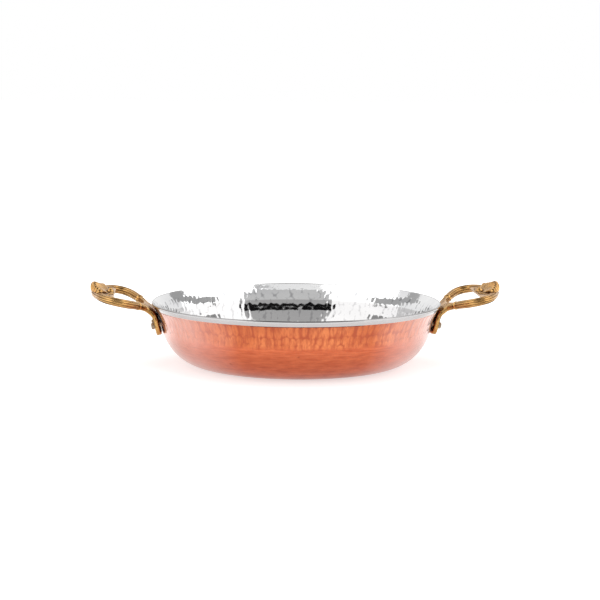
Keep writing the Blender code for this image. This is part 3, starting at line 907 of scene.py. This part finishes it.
rivets = {}
for place, far_place, side in (("front", "back", -1), ("back", "front", 1)):
    rivets[f"right_rivet_{place}"] = rivet(f"rivet_right_{place}", side)
    rivets[f"left_rivet_{far_place}"] = half_turn(rivets[f"right_rivet_{place}"], f"rivet_left_{far_place}")
print("rivets:", sorted(rivets))

# %% [markdown]
# ## Materials
# All the metals are the same kind of surface, a polished metal with its own colour and roughness. What makes
# each one real is what varies on it: scratches, stains, smears of tin and dark recesses, which also hold
# painted shade.

# %% Material helpers


def fed(tree, socket, value):
    """Gives a socket a number, or wires an output to it."""
    if isinstance(value, (int, float)):
        socket.default_value = value
    else:
        tree.links.new(value, socket)


def reckoned(tree, operation, first, second=0):
    """Output of a math node on two numbers or outputs."""
    made = tree.nodes.new("ShaderNodeMath")
    made.operation = operation
    fed(tree, made.inputs[0], first)
    fed(tree, made.inputs[1], second)
    return made.outputs[0]


def mapped(tree, value, low, high, start, end, smooth=False):
    """Maps low to high onto start to end, held at both."""
    made = tree.nodes.new("ShaderNodeMapRange")
    made.interpolation_type = "SMOOTHSTEP" if smooth else "LINEAR"
    for socket, number in zip(("From Min", "From Max", "To Min", "To Max"), (low, high, start, end)):
        made.inputs[socket].default_value = number
    tree.links.new(value, made.inputs["Value"])
    return made.outputs["Result"]


class Surface:
    """A metal material and short ways to add nodes to it."""

    def __init__(self, name, roughness):
        self.material = bpy.data.materials.new(name)
        self.material.use_nodes = True
        self.tree = self.material.node_tree
        self.shader = self.tree.nodes["Principled BSDF"]
        self.shader.inputs["Metallic"].default_value = 1
        self.shader.inputs["Roughness"].default_value = roughness
        self.places = self.node("ShaderNodeTexCoord").outputs["Object"]

    def node(self, kind, **settings):
        made = self.tree.nodes.new(kind)
        for key, value in settings.items():
            setattr(made, key, value)
        return made

    def wire(self, source, target):
        self.tree.links.new(source, target)

    def reckon(self, operation, first, second=0):
        return reckoned(self.tree, operation, first, second)

    def stretched(self, scale):
        """Object places scaled by three numbers."""
        made = self.node("ShaderNodeMapping")
        made.inputs["Scale"].default_value = scale
        self.wire(self.places, made.inputs["Vector"])
        return made.outputs["Vector"]

    def noise(self, scale, detail=4, rough=0.55, vector=None):
        made = self.node("ShaderNodeTexNoise")
        made.inputs["Scale"].default_value = scale
        made.inputs["Detail"].default_value = detail
        made.inputs["Roughness"].default_value = rough
        self.wire(vector or self.places, made.inputs["Vector"])
        return made.outputs["Fac"]

    def between(self, value, low, high, start, end):
        return mapped(self.tree, value, low, high, start, end)

    def stored(self, name):
        """The number that a mesh keeps for each point under this name."""
        return self.node("ShaderNodeAttribute", attribute_name=name).outputs["Fac"]

    def mixed(self, share, first, second):
        """Colour between the first and the second, each a colour or a socket."""
        made = self.node("ShaderNodeMix", data_type="RGBA")
        self.wire(share, made.inputs["Factor"])
        for socket, value in ((made.inputs["A"], first), (made.inputs["B"], second)):
            if isinstance(value, tuple):
                socket.default_value = (*value, 1)
            else:
                self.wire(value, socket)
        return made.outputs["Result"]

    def bump(self, height, distance, before=None):
        made = self.node("ShaderNodeBump")
        made.inputs["Distance"].default_value = distance
        made.inputs["Strength"].default_value = 1
        self.wire(height, made.inputs["Height"])
        if before:
            self.wire(before, made.inputs["Normal"])
        return made.outputs["Normal"]

    def turned_places(self):
        """(radius, height, angle) of each place, for marks that run round the pan."""
        split = self.node("ShaderNodeSeparateXYZ")
        self.wire(self.places, split.inputs[0])
        x, y, z = split.outputs
        squares = self.reckon("ADD", self.reckon("MULTIPLY", x, x), self.reckon("MULTIPLY", y, y))
        radius = self.reckon("SQRT", squares)
        return radius, z, self.reckon("ARCTAN2", y, x)

    def vector(self, *products):
        """A vector whose parts are each an output times a number. A part that isn't given is 0."""
        made = self.node("ShaderNodeCombineXYZ")
        for socket, (value, factor) in zip(made.inputs, products):
            self.wire(self.reckon("MULTIPLY", value, factor), socket)
        return made.outputs[0]

    def finish(self, colour, roughness=None, normal=None):
        self.wire(colour, self.shader.inputs["Base Color"])
        if roughness:
            self.wire(roughness, self.shader.inputs["Roughness"])
        if normal:
            self.wire(normal, self.shader.inputs["Normal"])
        return self.material


# %% [markdown]
# ## Copper
# Bright copper is orange-red. The hammered band keeps more polish. The creases between its blows are darker,
# partly oxide and partly painted shade, and upright dark streaks in the band are a painted reflection. The
# belly is scoured round and round, which leaves fine level lines, and below the band the colour is deeper.
# Towards the handles the colour drifts to a pale pink, a painted reflection of the side lights. A few dark
# flecks are stains.

# %% Copper material
surface = Surface("scoured_copper", 0.3)
radius, height, angle = surface.turned_places()
round_x = surface.reckon("COSINE", angle)
round_y = surface.reckon("SINE", angle)
belly = surface.between(height, 0.0290, 0.0335, 1, 0)
ring_lines = surface.noise(1, 6, 0.7, surface.vector((radius, 900), (height, 1500)))
ring_patches = surface.noise(1, 4, 0.6, surface.vector((round_x, 9), (round_y, 9), (height, 420)))
painted_reflection_streaks = surface.noise(1, 3, 0.6, surface.vector((round_x, 38), (round_y, 38), (height, 80)))
clouds = surface.noise(28, 5, 0.6)
flecks = surface.between(surface.noise(110, 2, 0.5), 0.72, 0.78, 0, 0.7)
hollow = surface.stored("hollow")
# A dark copper: painted shade in the creases, partly oxide, and the dark of the painted reflection streaks
COPPER_CREASE_AND_STREAK_SHADE = (0.42, 0.080, 0.028)
bright = surface.mixed(surface.between(clouds, 0.3, 0.7, 0, 1), (0.54, 0.120, 0.034), (0.78, 0.245, 0.085))
# Painted reflection: upright dark streaks across the band
bright = surface.mixed(surface.between(painted_reflection_streaks, 0.42, 0.62, 0, 0.75), bright, COPPER_CREASE_AND_STREAK_SHADE)
# The creases between blows take the dark copper: partly oxide, partly painted shade
struck = surface.mixed(surface.between(hollow, 0.02, 0.45, 0, 1), COPPER_CREASE_AND_STREAK_SHADE, bright)
patches = surface.between(ring_patches, 0.3, 0.72, 0, 1)
deep = surface.mixed(patches, (0.50, 0.088, 0.028), (0.70, 0.170, 0.062))
deep = surface.mixed(surface.between(ring_lines, 0.50, 0.70, 0, 0.40), deep, (0.76, 0.240, 0.110))
colour = surface.mixed(belly, struck, deep)
# Painted reflection of the side lights: towards the handles the copper drifts to pale pink
painted_reflection_sides = surface.between(surface.reckon("ABSOLUTE", round_x), 0.46, 0.97, 0, 1)
clouded = surface.between(clouds, 0.3, 0.6, 0.50, 0.90)
painted_side_reflection = surface.reckon("MULTIPLY", painted_reflection_sides, clouded)
colour = surface.mixed(painted_side_reflection, colour, (0.86, 0.50, 0.44))
colour = surface.mixed(flecks, colour, (0.28, 0.040, 0.016))
scoured = surface.reckon("MULTIPLY", belly, 0.10)
roughness = surface.reckon("ADD", surface.between(clouds, 0.25, 0.75, 0.09, 0.17), scoured)
lines = surface.reckon("MULTIPLY", ring_lines, surface.between(belly, 0, 1, 0.25, 1))
normal = surface.bump(lines, 0.000035)
surface.shader.inputs["Coat Weight"].default_value = 0.5
surface.shader.inputs["Coat Roughness"].default_value = 0.15
surface.shader.inputs["Sheen Weight"].default_value = 0.12
surface.shader.inputs["Sheen Roughness"].default_value = 0.40
surface.shader.inputs["Sheen Tint"].default_value = (1, 0.88, 0.88, 1)
copper_material = surface.finish(colour, roughness, normal)
print("copper:", len(surface.tree.nodes), "nodes")

# %% [markdown]
# ## Tin
# Tin is a soft grey-white metal. Wiped tin has faint smears and a slightly uneven skin over the hammer
# marks. The creases of the marks are greyer, and so are the top of the lip and the lap outside: painted
# shade.

# %% Tin material
surface = Surface("wiped_tin", 0.2)
smears = surface.noise(14, 4, 0.6, surface.stretched((1, 1, 3)))
skin = surface.noise(420, 3, 0.5)
wiped = surface.mixed(surface.between(smears, 0.3, 0.7, 0, 1), (0.72, 0.72, 0.73), (0.88, 0.88, 0.875))
# Painted shade: the creases between the blows are greyer
even = surface.between(surface.stored("hollow"), 0, 0.4, 0, 1)
colour = surface.mixed(even, (0.48, 0.48, 0.49), wiped)
# Painted shade: the top of the lip and the lap outside are greyer
colour = surface.mixed(surface.stored("painted_lip_shade"), colour, (0.38, 0.37, 0.37))
roughness = surface.between(smears, 0.3, 0.7, 0.04, 0.09)
tin_material = surface.finish(colour, roughness, surface.bump(skin, 0.00004))
print("tin:", len(surface.tree.nodes), "nodes")

# %% [markdown]
# ## Brass
# The castings are yellow-brown. Their recesses hold dark polish and painted shade, their skin keeps a trace
# of the sand.

# %% Brass material
surface = Surface("cast_brass_finish", 0.3)
recess = surface.stored("recess")
grain = surface.noise(900, 3, 0.6)
stains = surface.noise(90, 5, 0.6)
worn = surface.mixed(surface.between(stains, 0.3, 0.7, 0, 1), (0.47, 0.240, 0.072), (0.70, 0.42, 0.155))
stained = surface.between(stains, 0.60, 0.75, 0, 0.2)
# Dark in the recesses: partly polish left there, partly painted shade
dirt_and_painted_shade = surface.reckon("ADD", surface.between(recess, 0.48, 0.66, 0, 0.95), stained)
colour = surface.mixed(dirt_and_painted_shade, worn, (0.10, 0.045, 0.016))
roughness = surface.between(recess, 0.35, 0.75, 0.20, 0.50)
brass_material = surface.finish(colour, roughness, surface.bump(grain, 0.00006))
print("brass:", len(surface.tree.nodes), "nodes")

# %% [markdown]
# ## Rivet metal
# The rivets are dull grey-brown from heat and handling.

# %% Rivet material
surface = Surface("dull_rivet_metal", 0.42)
spots = surface.noise(600, 4, 0.6)
colour = surface.mixed(surface.between(spots, 0.3, 0.7, 0, 1), (0.30, 0.23, 0.17), (0.56, 0.46, 0.35))
roughness = surface.between(spots, 0.3, 0.7, 0.32, 0.52)
rivet_material = surface.finish(colour, roughness, surface.bump(spots, 0.00006))
print("rivet metal:", len(surface.tree.nodes), "nodes")

# %% [markdown]
# ## Put each piece in its place
# Every piece rides on the pan's one body and stands for its measured node, which then isn't shown.

# %% Dress the pan
dressed = [
    (copper, "copper_body", "copper", copper_material),
    (tin, "tin_lining", "tin", tin_material),
    (right, "right_handle", "cast_brass", brass_material),
    (left, "left_handle", "cast_brass", brass_material),
]
for node_name, piece in rivets.items():
    dressed.append((piece, node_name, "rivet_metal", rivet_material))
for piece, node_name, slot_name, material in dressed:
    piece.data.materials.clear()
    piece.data.materials.append(material)
    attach(piece, "root")
    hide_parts(node_name)
print("pieces:", [piece.name for piece, *_ in dressed])

# %% [markdown]
# ## A plain light studio
# Polished metal shows its surroundings, so the studio matters as much as the lamp. The pan stands in a room
# that is white in the metal but lights matt things only softly. The pale floor glows: to the camera and in
# the metal it is white far away and darker near the pan, which gives the copper its depth.

# %% World and floor
ROOM_LIGHT = 0.55
NEAR_GLOW, UNDER_GLOW = 0.60, 0.46
FLOOR_TONE, FLOOR_DROP = 0.62, 0.0002

world = bpy.data.worlds.new("white_room")
bpy.context.scene.world = world
world.use_nodes = True
tree = world.node_tree
background = tree.nodes["Background"]
background.inputs["Color"].default_value = (1, 1, 1, 1)
path = tree.nodes.new("ShaderNodeLightPath")
seen = path.outputs["Is Camera Ray"]
for ray in ("Is Glossy Ray", "Is Transmission Ray"):
    seen = reckoned(tree, "ADD", seen, path.outputs[ray])
fed(tree, background.inputs["Strength"], mapped(tree, seen, 0, 1, ROOM_LIGHT, 1))

start_clean()
bpy.ops.mesh.primitive_plane_add(size=30, location=(0, 0, -FLOOR_DROP))
ground = bpy.context.object
ground.name = "floor"
paper = bpy.data.materials.new("white_paper")
paper.use_nodes = True
tree = paper.node_tree
shader = tree.nodes["Principled BSDF"]
shader.inputs["Base Color"].default_value = (FLOOR_TONE, FLOOR_TONE, FLOOR_TONE, 1)
shader.inputs["Roughness"].default_value = 0.9
shader.inputs["Specular IOR Level"].default_value = 0
shader.inputs["Emission Color"].default_value = (1, 1, 1, 1)
length = tree.nodes.new("ShaderNodeVectorMath")
length.operation = "LENGTH"
tree.links.new(tree.nodes.new("ShaderNodeTexCoord").outputs["Object"], length.inputs[0])
path = tree.nodes.new("ShaderNodeLightPath")
# Each row says how the glow grows between two distances from the pan's middle, for one kind of ray
GLOWS = (
    ("Is Camera Ray", 0.10, 0.75, NEAR_GLOW, 1),
    # Metal sees a weaker glow under and near the pan: a painted shadow of the pan
    ("Is Glossy Ray", 0.09, 0.20, UNDER_GLOW, NEAR_GLOW),
    ("Is Glossy Ray", 0.20, 0.75, 0, 1 - NEAR_GLOW),
    ("Is Transmission Ray", 0.10, 0.75, NEAR_GLOW, 1),
)
glow = 0
for ray, near, far, start, end in GLOWS:
    away = mapped(tree, length.outputs["Value"], near, far, start, end, smooth=True)
    glow = reckoned(tree, "ADD", glow, reckoned(tree, "MULTIPLY", path.outputs[ray], away))
fed(tree, shader.inputs["Emission Strength"], glow)
ground.data.materials.append(paper)
ground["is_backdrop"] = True
print("floor glow", UNDER_GLOW, "under the pan,", NEAR_GLOW, "beside it")

# %% [markdown]
# ## Cards
# The black band that the photo shows in the tin is the unlit side of a real studio, so a dark card stands
# behind the camera. A grey card above it, two at the sides and one overhead give the tin its grey patches,
# and a grey ring on the floor tones the tin band outside the lip. Only the metal shows them.

# %% Cards
CARD_DISTANCE = 1.3
RING_SHADE, RING_INSIDE, RING_OUTSIDE, RING_LIFT = 0.45, 0.205, 0.300, 0.0004
CARDS = (
    ("dark_card", 0.008, (-40, 48), (2, 21.5)),
    ("grey_card", 0.62, (-38, 50), (21.5, 60)),
    ("ceiling_card", 0.12, (-180, 180), (66, 90)),
    ("left_grey_card", 0.45, (-144, -82), (19, 31)),
    ("right_grey_card", 0.42, (78, 140), (19, 31)),
)


def only_mirrored(made, shade):
    """Gives a stage card one even tone and hides it from all but mirrored rays."""
    material = bpy.data.materials.new(made.name)
    material.use_nodes = True
    shader = material.node_tree.nodes["Principled BSDF"]
    shader.inputs["Base Color"].default_value = (0, 0, 0, 1)
    shader.inputs["Specular IOR Level"].default_value = 0
    shader.inputs["Emission Color"].default_value = (shade, shade, shade, 1)
    shader.inputs["Emission Strength"].default_value = 1
    made.data.materials.append(material)
    made.visible_camera = False
    made.visible_diffuse = False
    made.visible_shadow = False
    made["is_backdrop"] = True
    return made


def bent_card(name, shade, columns, rows, shape):
    """A grid whose places, each from 0 to 1, go through the shape."""
    start_clean()
    bpy.ops.mesh.primitive_grid_add(x_subdivisions=columns, y_subdivisions=rows, size=2)
    made = bpy.context.object
    made.name = name
    flat = (points_of(made) + 1) / 2
    set_points(made, shape(flat[:, 0], flat[:, 1]))
    return only_mirrored(made, shade)


def round_the_pan(azimuths, elevations):
    """Shape of a card that curves between two azimuths and two elevations, in degrees."""

    def shape(sideways, upwards):
        a = np.radians(azimuths[0] + (azimuths[1] - azimuths[0]) * sideways)
        e = np.radians(elevations[0] + (elevations[1] - elevations[0]) * upwards)
        out = np.stack([np.sin(a) * np.cos(e), -np.cos(a) * np.cos(e), np.sin(e)], -1)
        return out * CARD_DISTANCE + (0, 0, PAN_HEIGHT / 2)

    return shape


def floor_ring(inner, outer):
    """Shape of a flat ring just above the floor."""

    def shape(sideways, outwards):
        radius = inner + (outer - inner) * outwards
        turn = sideways * math.tau
        return np.stack([radius * np.cos(turn), radius * np.sin(turn), np.full(len(turn), RING_LIFT)], -1)

    return shape


for name, shade, azimuths, elevations in CARDS:
    bent_card(name, shade, 24, 8, round_the_pan(azimuths, elevations))
bent_card("floor_card", RING_SHADE, 96, 2, floor_ring(RING_INSIDE, RING_OUTSIDE))
print("cards:", len(CARDS) + 1)

# %% [markdown]
# ## Lamps
# Two wide soft boxes stand at the sides, where the metal mirrors them. A third hangs overhead. It only lights
# and isn't mirrored, so that it leaves no glare on the tin.

# %% Lamps
LAMPS = (
    ("left_box", (-1.4, -0.5, 0.9), (0, 0, 0.03), (2.7, 2.3), 14, True),
    ("right_box", (1.4, -0.3, 0.9), (0, 0, 0.03), (2.7, 2.3), 17, True),
    ("top_box", (0, 0.3, 1.8), (0, 0, 0), (1.8, 1.8), 16, False),
)
for name, place, aim, size, watts, mirrored in LAMPS:
    start_clean()
    bpy.ops.object.light_add(type="AREA", location=place)
    lamp = bpy.context.object
    lamp.name = name
    lamp.data.shape = "RECTANGLE"
    lamp.data.size, lamp.data.size_y = size
    lamp.data.energy = watts
    lamp.rotation_euler = (Vector(aim) - Vector(place)).to_track_quat("-Z", "Y").to_euler()
    lamp.visible_glossy = mirrored
print("lamps:", [name for name, *_ in LAMPS])

# %% [markdown]
# ## The camera
# The photo looks at the pan from a good distance and just above the rim, with the left handle turned a
# little nearer and the picture rolled by less than half a degree.

# %% Camera
CAMERA_DISTANCE, CAMERA_TURN, CAMERA_RISE = 1.5, math.radians(4), math.radians(7.69)
CAMERA_ROLL = math.radians(0.43)
PICTURE_PX, SHIFT_RIGHT_PX, SHIFT_UP_PX = 600, 3.7, 1.7
SENSOR_MM, LENS_MM = 36, 100.2
rim_middle = Vector((0, 0, PAN_HEIGHT))
level_back = Vector((-math.sin(CAMERA_TURN), -math.cos(CAMERA_TURN), 0))
back = level_back * math.cos(CAMERA_RISE) + Vector((0, 0, math.sin(CAMERA_RISE)))
bpy.ops.object.camera_add(location=rim_middle + back * CAMERA_DISTANCE)
camera = bpy.context.object
camera.rotation_mode = "QUATERNION"
roll = Matrix.Rotation(CAMERA_ROLL, 3, "Z").to_quaternion()
camera.rotation_quaternion = (-back).to_track_quat("-Z", "Y") @ roll
camera.data.sensor_width = SENSOR_MM
camera.data.lens = LENS_MM
camera.data.shift_x = SHIFT_RIGHT_PX / PICTURE_PX
camera.data.shift_y = SHIFT_UP_PX / PICTURE_PX
camera.data.clip_start, camera.data.clip_end = 0.1, 50
bpy.context.scene.camera = camera
bpy.context.scene.view_settings.view_transform = "Standard"
print("camera", [round(v, 3) for v in camera.location])

# %% Check the size and finish
low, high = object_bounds()
over_low = [mm(max(a - b, 0)) for a, b in zip(cad_low, low)]
over_high = [mm(max(b - a, 0)) for a, b in zip(cad_high, high)]
print("outside the measured box by", over_low, over_high, "mm")
